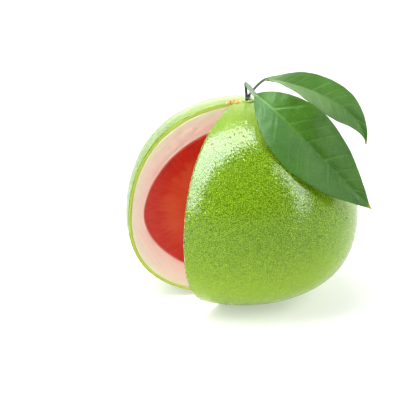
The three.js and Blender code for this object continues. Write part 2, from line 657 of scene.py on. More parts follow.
@dataclass(frozen=True)
class StalkFinish:
    """Green bark with painted shade that makes it near black where it leaves the fruit, paling
    along the stalk; its pale colour is the calyx's own and, on the winged stalk, a painted
    highlight.
    """

    name: str
    # painted shade on the stalk's foot
    dark: str = "1d2c0c"
    green: str = "45601f"
    # the calyx's own colour; on the winged stalk, a painted highlight
    pale: str = "76896b"
    speck_scale: float = 900.0

    def material(self) -> Material:
        """Makes the material."""
        w = Paint(self.name)
        speck = w.noise(self.speck_scale, 3.0)
        # painted shade: near black at the foot, easing to green from 0.4 of the way along
        colour = w.mix(w.ease(w.read("along"), 0.4, 1.0), self.dark, self.green)
        # the calyx's own pale colour, and a painted highlight on the lit top of the stalk's wing
        colour = w.mix(w.read("pale"), colour, self.pale)
        return w.done(
            {
                "Base Color": w.mix(w.times(speck, 0.5), colour, self.green, "MULTIPLY"),
                "Normal": w.bump(speck, 0.4, 0.2 * MM),
                "Roughness": 0.55,
            }
        )


# ---------------------------------------------------------------- the fruit


@dataclass
class FruitForm:
    """The fruit's outline and its cut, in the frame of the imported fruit."""

    rest_angle: float = 0.18
    neck_law: tuple[float, ...] = (1, 0.092, 0.176, 0.052)
    apex_share: Pair = (-0.07375, -0.05125)
    hub_share: Pair = (0.34, 0.44)
    radius: float = field(init=False)
    height: float = field(init=False)
    widest: float = field(init=False)
    apex: Array = field(init=False)
    axis: Array = field(init=False)
    hub: Array = field(init=False)

    def __post_init__(self) -> None:
        """Reads the fruit's size, and places the cut's inner edge and the middle of a cut face."""
        low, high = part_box("fruit")
        self.radius = (high.x - low.x) / 2
        self.height = high.z - low.z
        self.widest = self.law(np.linspace(0, math.pi, 2001)).max()
        self.apex = np.array(self.apex_share) * self.radius
        self.axis = np.array([*self.apex, 0.0])
        self.hub = np.array(self.hub_share) * (self.radius, self.height)

    def law(self, t: Array) -> Array:
        """Unscaled half-width at polar angle t, which is 0 under the base."""
        c = np.cos(t)
        return np.sin(t) * sum(k * c**power for power, k in enumerate(self.neck_law))

    def outline(self, t: Array, inset: float = 0.0) -> tuple[Array, Array]:
        """Half-width and height at polar angle t, with the flat rest spot under the base.

        Args:
            t: polar angles from 0, the middle of the base, to pi, the top.
            inset: how far inside the skin the outline lies.

        Returns:
            The half-widths and the heights.
        """
        edge = math.cos(self.rest_angle)
        held = np.maximum(t, self.rest_angle)
        r = self.radius * self.law(held) / self.widest
        r = np.where(t < self.rest_angle, r * t / self.rest_angle, np.maximum(r, 0))
        z = self.height * (edge - np.cos(held)) / (edge + 1)
        if not inset:
            return r, z
        step = 1e-4
        r2, z2 = self.outline(t + step)
        r1, z1 = self.outline(t - step)
        out = unit(np.stack([z2 - z1, r1 - r2], -1))
        out = np.where((t < self.rest_angle)[:, None], np.array([0.0, -1.0]), out)
        out[t <= 0] = (0, -1)
        out[t >= math.pi] = (0, 1)
        return np.maximum(r - inset * out[:, 0], 0), z - inset * out[:, 1]

    def along(self, cut: Cut) -> Array:
        """The level direction that a cut runs out in."""
        a = math.radians(cut.value)
        return np.array([math.cos(a), math.sin(a), 0.0])

    def facing(self, cut: Cut) -> Array:
        """The direction that a cut face looks in, into the notch."""
        u = self.along(cut)
        return np.array([-u[1], u[0], 0.0]) if cut is Cut.FAR else np.array([u[1], -u[0], 0.0])

    def reach(self, r: Array, cut: Cut) -> Array:
        """How far out from a cut's inner edge the circle of radius r lies, or 0 inside it."""
        b = self.apex @ self.along(cut)[:2]
        spare = np.maximum(b * b - self.apex @ self.apex + r * r, 0)
        return np.maximum(-b + np.sqrt(spare), 0)

    def meeting(self, r: Array, cut: Cut) -> Array:
        """Level points where circles of radius r meet a cut."""
        return self.apex + self.reach(r, cut)[:, None] * self.along(cut)[:2]

    def azimuth(self, r: Array, cut: Cut) -> Array:
        """Azimuth at which circles of radius r meet a cut."""
        place = self.meeting(r, cut)
        return np.arctan2(place[:, 1], place[:, 0]) % (2 * math.pi)

    def on_cut(self, flat: Array, cut: Cut, lift: Array | float = 0.0) -> Array:
        """Points on a cut face.

        Args:
            flat: each point's distance out from the cut's inner edge and its height.
            cut: which cut.
            lift: how far the points stand out into the notch.

        Returns:
            The points.
        """
        lifted = np.broadcast_to(np.asarray(lift, float), len(flat))
        base = self.axis + flat[:, :1] * self.along(cut)
        base[:, 2] += flat[:, 1]
        return base + lifted[:, None] * self.facing(cut)

    def ring_angles(self, count: int) -> Array:
        """Polar angles of rings from base to top, with one exactly at each end of the cut."""
        inner = np.linalg.norm(self.apex)
        t = np.linspace(1e-4, math.pi - 1e-4, 4001)
        r, _ = self.outline(t)
        peak = int(r.argmax())
        low = float(np.interp(inner, r[:peak], t[:peak]))
        high = float(np.interp(-inner, -r[peak:], t[peak:]))
        base = np.linspace(0, low, CAP + 1)[:-1]
        body = low + (high - low) * np.linspace(0, 1, count)
        return joined([base, body, np.linspace(high, math.pi, CAP + 1)[1:]])

    def sweep(self, t: Array, inset: float, columns: int) -> Array:
        """Rings of points round the fruit from the far cut, round the back, to the near cut.

        Args:
            t: polar angle of each ring.
            inset: depth under the skin.
            columns: points on each ring.

        Returns:
            The points, with shape rings by columns by 3.
        """
        r, z = self.outline(t, inset)
        first = self.azimuth(r, Cut.NEAR)
        last = self.azimuth(r, Cut.FAR) + 2 * math.pi
        turn = last[:, None] + (first - last)[:, None] * np.linspace(0, 1, columns)
        wide = r[:, None]
        points = np.stack([wide * np.cos(turn), wide * np.sin(turn), z[:, None] + 0 * turn], -1)
        body = slice(CAP, len(t) - CAP)
        points[body, 0, :2] = self.meeting(r, Cut.FAR)[body]
        points[body, -1, :2] = self.meeting(r, Cut.NEAR)[body]
        return points


@dataclass
class FleshOutline:
    """The outline of the flesh on a cut face: half a moon with rounded horns."""

    form: FruitForm
    reach: float = 0.785
    crown: float = 0.435
    base: float = 0.335
    fullness: float = 1.8
    core: float = 0.035
    rounding: float = 0.16

    def outside(self, flat: Array) -> Array:
        """A level that is 0 on the outline and positive outside it."""
        f = self.form
        d, up = flat[:, 0], flat[:, 1] - f.hub[1]
        tall = np.where(up > 0, self.crown, self.base) * f.height
        n = self.fullness
        moon = (np.abs(d / (self.reach * f.radius)) ** n + np.abs(up / tall) ** n) ** (1 / n) - 1
        inner = (self.core * f.radius - d) / (0.5 * f.radius)
        k = self.rounding
        h = np.clip(0.5 + 0.5 * (moon - inner) / k, 0, 1)
        return inner * (1 - h) + moon * h + k * h * (1 - h)

    def boundary(self, toward: Array) -> Array:
        """The point of the outline in the direction of each given point, found by halving."""
        hub = self.form.hub
        ray = unit(toward - hub)
        low = np.zeros(len(ray))
        high = np.full(len(ray), 2 * self.form.radius)
        for _ in range(40):
            mid = (low + high) / 2
            out = self.outside(hub + mid[:, None] * ray) > 0
            high = np.where(out, mid, high)
            low = np.where(out, low, mid)
        return hub + low[:, None] * ray


@dataclass
class Rind:
    """The green skin: a thin shell, pebbled with oil glands, cut back to a clean edge."""

    form: FruitForm
    thickness: float = 2.2 * MM
    frequency: int = 93
    rings: int = 72
    columns: int = 48
    gland_height: float = 0.17 * MM
    scatter: float = 0.38
    valley_scatter: float = 0.06
    gland_sizes: Pair = (0.45, 1.15)
    valley_sizes: Pair = (0, 0.2)
    sunk_share: float = 0.14
    sunk: float = 0.75
    lip_depth: float = 0.5 * MM
    lip_back: float = 0.08 * MM
    lip_gland: float = 0.4
    edge_back: Pair = (0.5 * MM, 1.0 * MM)
    softened: Pair = (0.5 * MM, 6 * MM)
    base_fade: Pair = (0.2 * MM, 3 * MM)
    far_cream: float = 0.35

    def lattice(self) -> tuple[Array, Array, Array]:
        """A ball of small triangles, in which every third vertex is the middle of an oil gland.

        Returns:
            The directions, the triangles and 1 for each gland's middle, else 0.
        """
        g = (1 + math.sqrt(5)) / 2
        tips = np.array(
            [(-1, g, 0), (1, g, 0), (-1, -g, 0), (1, -g, 0), (0, -1, g), (0, 1, g)]
            + [(0, -1, -g), (0, 1, -g), (g, 0, -1), (g, 0, 1), (-g, 0, -1), (-g, 0, 1)],
            float,
        )
        apart = np.linalg.norm(tips[:, None] - tips, axis=-1)
        touching = np.abs(apart - 2) < 1e-6
        sides = [
            (a, b, c)
            for a, b, c in product(range(len(tips)), repeat=3)
            if a < min(b, c) and touching[a, b] and touching[b, c] and touching[c, a]
            if np.linalg.det(tips[[a, b, c]]) > 0
        ]
        n = self.frequency
        i, j = (m.ravel() for m in np.indices((n + 1, n + 1)))
        i, j = i[i + j <= n], j[i + j <= n]
        number = -np.ones((n + 2, n + 2), int)
        number[i, j] = np.arange(len(i))
        a, b = i[i + j < n], j[i + j < n]
        upright = np.stack([number[a, b], number[a + 1, b], number[a, b + 1]], -1)
        a, b = i[i + j < n - 1], j[i + j < n - 1]
        flipped = np.stack([number[a + 1, b], number[a + 1, b + 1], number[a, b + 1]], -1)
        pattern = joined([upright, flipped])
        shares = np.stack([n - i - j, i, j], -1).astype(float)
        every = joined([unit(shares @ tips[list(side)]) for side in sides])
        tris = joined([pattern + count * len(i) for count in range(len(sides))])
        middle = np.tile(((i - j) % 3 == 0).astype(float), len(sides))
        _, first, back = np.unique(
            np.round(every, 7), axis=0, return_index=True, return_inverse=True
        )
        return every[first], back.reshape(-1)[tris], middle[first]

    def skin(self) -> bpy.types.Mesh:
        """The outer skin as an open sheet with the wedge cut away, and its glands marked."""
        directions, tris, gland = self.lattice()
        rng = np.random.default_rng(11)
        pitch = 2.1 / self.frequency
        push = rng.uniform(-1, 1, size=directions.shape) * pitch * self.scatter
        directions = unit(directions + push * gland[:, None])
        owner = tris[np.arange(len(tris)), gland[tris].argmax(1)]
        total = np.zeros_like(directions)
        for corner in range(3):
            np.add.at(total, tris[:, corner], directions[owner])
        sway = rng.normal(size=total.shape) * pitch * self.valley_scatter
        directions = np.where(gland[:, None] > 0, directions, unit(unit(total) + sway))
        t = np.arccos(np.clip(-directions[:, 2], -1, 1))
        turn = np.arctan2(directions[:, 1], directions[:, 0])
        r, z = self.form.outline(t)
        places = np.stack([r * np.cos(turn), r * np.sin(turn), z], -1)
        count = len(gland)
        raised = gland * rng.uniform(*self.gland_sizes, count)
        raised += (1 - gland) * rng.uniform(*self.valley_sizes, count)
        raised *= 1 - self.sunk * gland * (rng.uniform(size=count) < self.sunk_share)
        mesh = bpy.data.meshes.new("skin")
        mesh.from_pydata(places.tolist(), [], tris.tolist())
        mesh.attributes.new("gland", "FLOAT", "POINT").data.foreach_set("value", raised)
        self.cut_away(mesh)
        return mesh

    def cut_away(self, mesh: bpy.types.Mesh) -> None:
        """Cuts the wedge out of the skin, with a clean edge along each cut."""
        f = self.form
        near = 3 * MM  # only faces this close to a cut are split by it
        work = bmesh.new()
        work.from_mesh(mesh)
        for cut in Cut:
            u, n = f.along(cut), f.facing(cut)
            middles = [np.array(s.calc_center_median()) - f.axis for s in work.faces]
            beside = [m @ u > -near and abs(m @ n) < near for m in middles]
            faces = [s for s, close in zip(work.faces, beside) if close]
            edges = list(dict.fromkeys(e for s in faces for e in s.edges))
            verts = list(dict.fromkeys(v for s in faces for v in s.verts))
            bmesh.ops.bisect_plane(
                work,
                geom=[*verts, *edges, *faces],
                dist=1e-6,
                plane_co=Vector(f.axis),
                plane_no=Vector(n),
            )
        ways = np.array([f.facing(cut) for cut in Cut])
        gone = [
            s for s in work.faces if (ways @ (np.array(s.calc_center_median()) - f.axis) > 0).all()
        ]
        bmesh.ops.delete(work, geom=gone, context="FACES")
        bmesh.ops.triangulate(work, faces=work.faces)
        work.to_mesh(mesh)
        work.free()

    def rim_order(self, mesh: bpy.types.Mesh) -> list[int]:
        """Vertices on the skin's open edge: down the far cut, then up the near cut."""
        f = self.form
        work = bmesh.new()
        work.from_mesh(mesh)
        after: dict[int, int] = {}
        for edge in work.edges:
            if edge.is_boundary:
                loop = edge.link_loops[0]
                after[loop.vert.index] = loop.link_loop_next.vert.index
        work.free()
        places = {i: np.array(mesh.vertices[i].co) for i in after}
        start = next(
            i
            for i, p in places.items()
            if np.linalg.norm((p - f.axis)[:2]) < 2e-5 and p[2] > f.height / 2
        )
        chain = [start]
        while after[chain[-1]] != start:
            chain.append(after[chain[-1]])
        if (places[chain[5]] - f.axis) @ f.facing(Cut.NEAR) > -1e-5:
            chain = [start, *chain[:0:-1]]
        return chain

    def build(self) -> Piece:
        """Closes the skin into a shell: cut edge, then a smooth inner wall.

        Returns:
            The rind, before its glands are raised.
        """
        f = self.form
        skin = self.skin()
        outer = np.array([v.co for v in skin.vertices])
        gland = np.zeros(len(outer))
        skin.attributes["gland"].data.foreach_get("value", gland)
        chain = self.rim_order(skin)
        rim = outer[chain]
        span = np.linalg.norm((rim - f.axis)[:, :2], axis=1)
        bottom = int(np.argmin(span + 9 * (rim[:, 2] > f.height / 2)))
        is_far = np.arange(len(chain)) < bottom
        facing = np.where(is_far[:, None], f.facing(Cut.FAR), f.facing(Cut.NEAR))
        facing = facing * smooth(*self.softened, span)[:, None]
        lip = rim - self.lip_depth * self.rim_normals(rim) - facing * self.lip_back
        outer[chain] = rim - facing * np.where(is_far, *self.edge_back)[:, None]

        t = f.ring_angles(self.rings)
        rows = len(t)
        inner = f.sweep(t, self.thickness, self.columns).reshape(-1, 3)
        far_side = np.arange(rows - 1 - CAP, CAP - 1, -1) * self.columns
        near_side = np.arange(CAP, rows - CAP) * self.columns + self.columns - 1
        loop = joined([far_side, near_side])
        first_lip, first_inner = len(outer), len(outer) + len(lip)
        lip_loop = list(range(first_lip, first_inner))
        lip_place = self.loop_place(lip, bottom)
        inner_place = self.loop_place(inner[loop], len(far_side) - 1)
        faces = [
            *(list(p.vertices) for p in skin.polygons),
            *band(chain, lip_loop),
            *self.zip_loops(lip_loop, lip_place, (first_inner + loop).tolist(), inner_place),
            *grid_faces(rows, self.columns, start=first_inner),
        ]
        open_skin, on_lip = np.zeros(len(outer)), np.ones(len(lip))
        hidden, edge, creamy = np.zeros((3, len(inner)))
        edge[loop] = 1.0
        creamy[near_side] = 1.0
        creamy[far_side] = self.far_cream
        fade = self.rim_fade(outer, chain)
        values = {
            "gland": joined([gland, self.lip_gland * on_lip, hidden]),
            "edge": joined([open_skin, on_lip, edge]),
            "creamy": joined([open_skin, on_lip * ~is_far, creamy]),
            "skin": joined([fade, 0 * on_lip, hidden]),
        }
        bpy.data.meshes.remove(skin)
        return mesh_object("rind", joined([outer, lip, inner]), faces, values, merge=1e-6)

    def rim_normals(self, rim: Array) -> Array:
        """Outward directions of the uncut skin at points on its edge."""
        t = np.linspace(0.01, math.pi - 0.01, 1500)
        r, z = self.form.outline(t)
        slope = unit(np.stack([np.gradient(z), -np.gradient(r)], -1))
        span = np.hypot(rim[:, 0], rim[:, 1])
        nearest = ((span[:, None] - r) ** 2 + (rim[:, 2][:, None] - z) ** 2).argmin(1)
        return np.hstack([unit(rim[:, :2]) * slope[nearest, :1], slope[nearest, 1:]])

    def rim_fade(self, outer: Array, chain: list[int]) -> Array:
        """1 on the open skin, easing to 0 under the base, and 0 on the cut edge."""
        fade = smooth(*self.base_fade, outer[:, 2])
        fade[chain] = 0
        return fade

    def loop_place(self, points: Array, bottom: int) -> Array:
        """Place of each point of a rim loop: 0 to 1 down the far cut, 1 to 2 up the near cut."""
        f = self.form
        start, end = (math.atan2(z - f.hub[1], -f.hub[0]) for z in (f.height, 0))
        place = np.zeros(len(points))
        for cut, part in ((Cut.FAR, slice(0, bottom + 1)), (Cut.NEAR, slice(bottom, None))):
            d = (points[part, :2] - f.apex) @ f.along(cut)[:2]
            turn = np.arctan2(points[part, 2] - f.hub[1], d - f.hub[0])
            share = np.clip((start - turn) / (start - end), 0, 1)
            place[part] = share if cut is Cut.FAR else 2 - share
        return np.maximum.accumulate(place)

    @staticmethod
    def zip_loops(a: list[int], a_place: Array, b: list[int], b_place: Array) -> Faces:
        """Triangles between two closed loops of vertices, taken in step with their places."""
        a, b = [*a, a[0]], [*b, b[0]]
        a_place, b_place = np.append(a_place, 2.0), np.append(b_place, 2.0)
        i = j = 0
        triangles = []
        while i < len(a) - 1 or j < len(b) - 1:
            if j == len(b) - 1 or (i < len(a) - 1 and a_place[i + 1] <= b_place[j + 1]):
                triangles.append([a[i], a[i + 1], b[j]])
                i += 1
            else:
                triangles.append([a[i], b[j + 1], b[j]])
                j += 1
        return triangles

    def dress(self, thing: Piece) -> Piece:
        """Raises the oil glands along the skin's normals and gives the rind its finish."""
        tree = Grower("oil_glands", {"Gland height": self.gland_height})
        height = tree.times(tree.field("gland"), tree.given["Gland height"])
        height = tree.times(height, tree.field("skin"))
        lift = tree.scaled(tree.add("GeometryNodeInputNormal").outputs[0], height)
        shape = tree.moved(tree.given["Geometry"], lift)
        return tree.run(shape, thing, RindFinish().material(self.form.height))


@dataclass
class Pith:
    """The thick spongy pith under the rind, with a pocket for the flesh in each cut face."""

    form: FruitForm
    flesh: FleshOutline
    inset: float = 2.22 * MM
    pocket: float = 7 * MM
    rings: int = 90
    columns: int = 60
    core_steps: int = 60
    strip_steps: int = 26
    strip_law: float = 1.3
    sponge_pitch: Pair = (5 * MM, 1.7 * MM)
    sponge_height: Pair = (0.12 * MM, 0.05 * MM)
    core_zone: Pair = (3 * MM, 12 * MM)
    core_roughness: float = 2.2
    brim: float = 0.22 * MM

    def face_loop(self, cut: Cut, t: Array) -> Array:
        """Outer outline of a cut face, flat: up its inner edge, then down its skin side."""
        r, z = self.form.outline(t, self.inset)
        body = slice(CAP, len(t) - CAP)
        d, z = self.form.reach(r, cut)[body], z[body]
        edge = np.linspace(z[0], z[-1], self.core_steps)[1:-1]
        return joined([np.stack([0 * edge, edge], -1), np.stack([d, z], -1)[::-1]])

    def face(self, cut: Cut, t: Array) -> tuple[Array, Faces, Array]:
        """One cut face of pith: a strip round the flesh, and the pocket that the flesh sits in.

        Args:
            cut: which cut.
            t: polar angles of the rings that its outer outline joins.

        Returns:
            The vertices, the faces and each vertex's place between flesh, 0, and skin, 1.
        """
        f = self.form
        loop = self.face_loop(cut, t)
        inner = self.flesh.boundary(loop)
        share = np.linspace(0, 1, self.strip_steps) ** self.strip_law
        strip = (inner[None] + share[:, None, None] * (loop - inner)[None]).reshape(-1, 2)
        depth = np.repeat(share, len(loop))
        away = smooth(0, 2.5 * MM, strip[:, 0]) * (1 - smooth(0.96, 1.0, depth))
        torn = 1 + self.core_roughness * (1 - smooth(*self.core_zone, strip[:, 0]))
        place = f.on_cut(strip, cut)
        coarse, fine = (ripple(place, self.sponge_pitch[k], 3 + k) for k in range(2))
        sponge = coarse * self.sponge_height[0] + fine * self.sponge_height[1]
        lift = away * sponge * torn + self.brim * bell((depth - 0.03) / 0.05)
        place = f.on_cut(strip, cut, lift)
        floor = f.on_cut(inner, cut, -self.pocket)
        middle = f.on_cut(f.hub[None], cut, -self.pocket)
        count, base = len(loop), len(place)
        floor_loop = range(base, base + count)
        faces = grid_faces(self.strip_steps, count, closed=True)
        faces += band(range(count), floor_loop) + fan(floor_loop, base + count)
        depth = joined([depth, np.zeros(count + 1)])
        return joined([place, floor, middle]), faces, depth

    def build(self) -> Piece:
        """Joins both cut faces to the hidden outer wall."""
        t = self.form.ring_angles(self.rings)
        vertices = self.form.sweep(t, self.inset, self.columns).reshape(-1, 3)
        faces = grid_faces(len(t), self.columns)
        depth = np.ones(len(vertices))
        for cut in Cut:
            points, made, values = self.face(cut, t)
            faces += [[len(vertices) + i for i in f] for f in made]
            vertices = joined([vertices, points])
            depth = joined([depth, values])
        return mesh_object("pith", vertices, faces, {"depth": depth}, merge=2e-6)

    def dress(self, thing: Piece) -> Piece:
        """Gives the pith its finish."""
        return dressed(thing, PithFinish().material())


@dataclass
class Flesh:
    """The juicy flesh that shows on one cut face: a slab of juice sacs that point at the core."""

    form: FruitForm
    outline: FleshOutline
    cut: Cut
    thickness: float = 6.5 * MM
    set_back: float = 0.1 * MM
    rim_drop: float = 0.28 * MM
    sac_length: float = 13 * MM
    sac_width: float = 2.1 * MM
    sac_source: float = -0.1
    sac_sway: float = 0.35
    sway_pitch: float = 16 * MM
    wall_width: float = 0.16
    groove_depth: float = 0.05 * MM
    columns: int = 340
    rows: int = 64

    def sacs(self, flat: Array, vertices: Array) -> Array:
        """Each point's place among the juice sacs, which all point back at the core.

        Args:
            flat: the points' distances out from the core and their heights.
            vertices: the same points in space.

        Returns:
            How many sacs out and how many sacs round each point lies.
        """
        source = np.array([self.sac_source * self.form.radius, self.form.hub[1]])
        away = flat - source
        far = np.linalg.norm(away, axis=1)
        angle = np.arctan2(away[:, 1], away[:, 0])
        sway = ripple(vertices, self.sway_pitch, 21) * self.sac_sway
        round_core = angle * 45 * MM / self.sac_width + 0.5 * sway
        return np.stack([far / self.sac_length + sway, round_core, 0 * far], -1)

    def build(self) -> Piece:
        """The slab, closed at its back, with each point's place among the juice sacs.

        Returns:
            The slab before the sacs are raised.
        """
        f, n = self.form, self.columns
        hub = f.hub[None]
        turn = circle(n)
        edge = self.outline.boundary(hub + np.stack([np.cos(turn), np.sin(turn)], -1))
        share = np.linspace(0, 1, self.rows + 1)[1:] ** 0.8
        spread = (hub + share[:, None, None] * (edge - hub)[None]).reshape(-1, 2)
        rim = np.repeat(share, n)
        sunk = -self.rim_drop * smooth(0.965, 1.0, rim) - self.set_back
        front = f.on_cut(spread, self.cut, sunk)
        back_edge = f.on_cut(edge, self.cut, -self.thickness)
        hubs = f.on_cut(joined([hub, hub]), self.cut, (-self.set_back, -self.thickness))
        vertices = joined([front, back_edge, hubs])
        last, back = len(front) - n, len(front)
        back_loop = range(back, back + n)
        faces = grid_faces(self.rows, n, closed=True)
        faces += fan(range(n), back + n) + fan(back_loop, back + n + 1)
        faces += band(back_loop, range(last, back))
        values = {
            "sacs": self.sacs(joined([spread, edge, hub, hub]), vertices),
            "out": np.tile(f.facing(self.cut), (len(vertices), 1)),
            "shown": joined([1 - smooth(0.95, 1.0, rim), np.zeros(n), [1.0], [0.0]]),
            "rim": joined([rim, np.ones(n), [0.0], [0.0]]),
        }
        return mesh_object(f"flesh_{self.cut.name.lower()}", vertices, faces, values, merge=1e-7)

    def dress(self, thing: Piece, finish: Material) -> Piece:
        """Raises the juice sacs, marks the walls between them and gives the flesh its finish."""
        sizes = {"Groove depth": self.groove_depth, "Wall width": self.wall_width}
        tree = Grower("juice_sacs", sizes)
        where = tree.field("sacs", "FLOAT_VECTOR")
        walls = tree.cells(where, 1.0, 0.9, "DISTANCE_TO_EDGE").outputs["Distance"]
        tone = tree.part(tree.cells(where, 1.0, 0.9, "F1").outputs["Color"], 0)
        plump = tree.ease(walls, 0.0, tree.given["Wall width"])
        uneven = tree.plus(plump, tree.times(tone, 0.7))
        height = tree.times(uneven, tree.given["Groove depth"])
        height = tree.times(height, tree.field("shown"))
        lift = tree.scaled(tree.field("out", "FLOAT_VECTOR"), height)
        shape = tree.keep(tree.moved(tree.given["Geometry"], lift), "tone", tone)
        return tree.run(tree.keep(shape, "groove", tree.rest(plump)), thing, finish)


@dataclass
class CoreFibres:
    """Torn bundles that stand up round the top of the core, where the wedge was pulled away."""

    form: FruitForm
    crumbs: int = 70
    crumb_size: float = 1.4 * MM
    stretch: Pair = (-7.5, 5)
    heap: float = 1.5

    def places(self) -> Array:
        """Scattered places along a short line over the top end of the cut."""
        f = self.form
        rng = np.random.default_rng(8)
        along = rng.uniform(*self.stretch, self.crumbs) * MM
        aside = rng.normal(0, 1.5, self.crumbs) * MM - 1.2 * MM
        u, n = f.along(Cut.FAR), f.facing(Cut.FAR)
        place = f.axis + along[:, None] * u + aside[:, None] * n
        span = np.hypot(place[:, 0], place[:, 1])
        r, z = f.outline(np.linspace(math.pi / 2, math.pi, 400))
        heap = self.heap * bell((along - 1 * MM) / (3 * MM))
        place[:, 2] = np.interp(span, r[::-1], z[::-1]) + rng.uniform(-0.4, heap + 0.1) * MM
        return place

    def build(self) -> Piece:
        """Grows a rough crumb, turned and stretched at random, at each place."""
        points = mesh_object("core_fibres", self.places(), [])
        tree = Grower("crumbs", {"Crumb size": self.crumb_size, "Seed": 3.0})
        ball = tree.add("GeometryNodeMeshIcoSphere", {"Radius": 0.5, "Subdivisions": 2})
        wobble = tree.add("ShaderNodeTexNoise", {"Scale": 3.0, "Detail": 1.0}).outputs["Color"]
        rough = tree.add(
            "ShaderNodeVectorMath", {0: wobble, 1: (0.5, 0.5, 0.5)}, operation="SUBTRACT"
        )
        seed = tree.add("FunctionNodeFloatToInt", {0: tree.given["Seed"]}).outputs[0]
        turn = tree.random((0, 0, 0), (6.28, 6.28, 6.28), seed)
        long = tree.random((0.45, 0.45, 0.6), (1.0, 1.0, 1.7), seed)
        inputs = {
            "Points": tree.add("GeometryNodeMeshToPoints", {0: tree.given["Geometry"]}).outputs[0],
            "Instance": tree.moved(ball.outputs["Mesh"], rough.outputs[0]),
            "Rotation": turn,
            "Scale": tree.scaled(long, tree.given["Crumb size"]),
        }
        spread = tree.add("GeometryNodeInstanceOnPoints", inputs).outputs["Instances"]
        return tree.run(spread, points, FibreFinish().material())


# ---------------------------------------------------------------- stem and leaves


@dataclass
class Stem:
    """The calyx button, with its blunt lobes, and the stub of the twig.

    Each step of its outline is a share of its radius, a share of its height and how far it is
    lobed, from 0 to 1.
    """

    sides: int = 80
    lobes: int = 5
    lobe_depth: float = 0.16
    roughness: float = 0.02
    steps: tuple[Triple, ...] = (
        (0.0, 0.0, 0.0),
        (0.8, 0.0, 1.0),
        (0.97, 0.05, 1.0),
        (1.0, 0.18, 1.0),
        (0.93, 0.33, 1.0),
        (0.78, 0.4, 0.7),
        (0.62, 0.4, 0.3),
        (0.56, 0.46, 0.1),
        (0.53, 0.6, 0.0),
        (0.52, 0.85, 0.0),
        (0.48, 0.97, 0.0),
        (0.4, 1.0, 0.0),
        (0.3, 0.93, 0.0),
        (0.14, 0.96, 0.0),
        (0.0, 0.95, 0.0),
    )

    def build(self) -> Piece:
        """Turns a stepped outline whose radius swells at each lobe."""
        low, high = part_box("stem")
        centre = (low + high) / 2
        share, up, lobed = (np.array(part)[:, None] for part in zip(*self.steps))
        turn = circle(self.sides)
        swell = 1 - self.lobe_depth * lobed * (0.5 - 0.5 * np.cos(self.lobes * turn))
        rough = 1 + self.roughness * np.sin(17 * turn + 9 * up)
        r = (high.x - low.x) / 2 * share * swell * rough
        x, y = centre.x + r * np.cos(turn), centre.y + r * np.sin(turn)
        z = low.z + (high.z - low.z) * up + 0 * turn
        vertices = np.stack([x, y, z], -1).reshape(-1, 3)
        values = {
            "along": np.repeat(0.1 + 0.25 * share.ravel(), self.sides),
            "pale": np.ones(len(vertices)),
        }
        faces = grid_faces(len(self.steps), self.sides, closed=True)
        return mesh_object("calyx", vertices, faces, values, merge=1e-6)

    def dress(self, thing: Piece) -> Piece:
        """Gives the calyx its pale bark."""
        return dressed(thing, StalkFinish("calyx", pale="aec877").material())


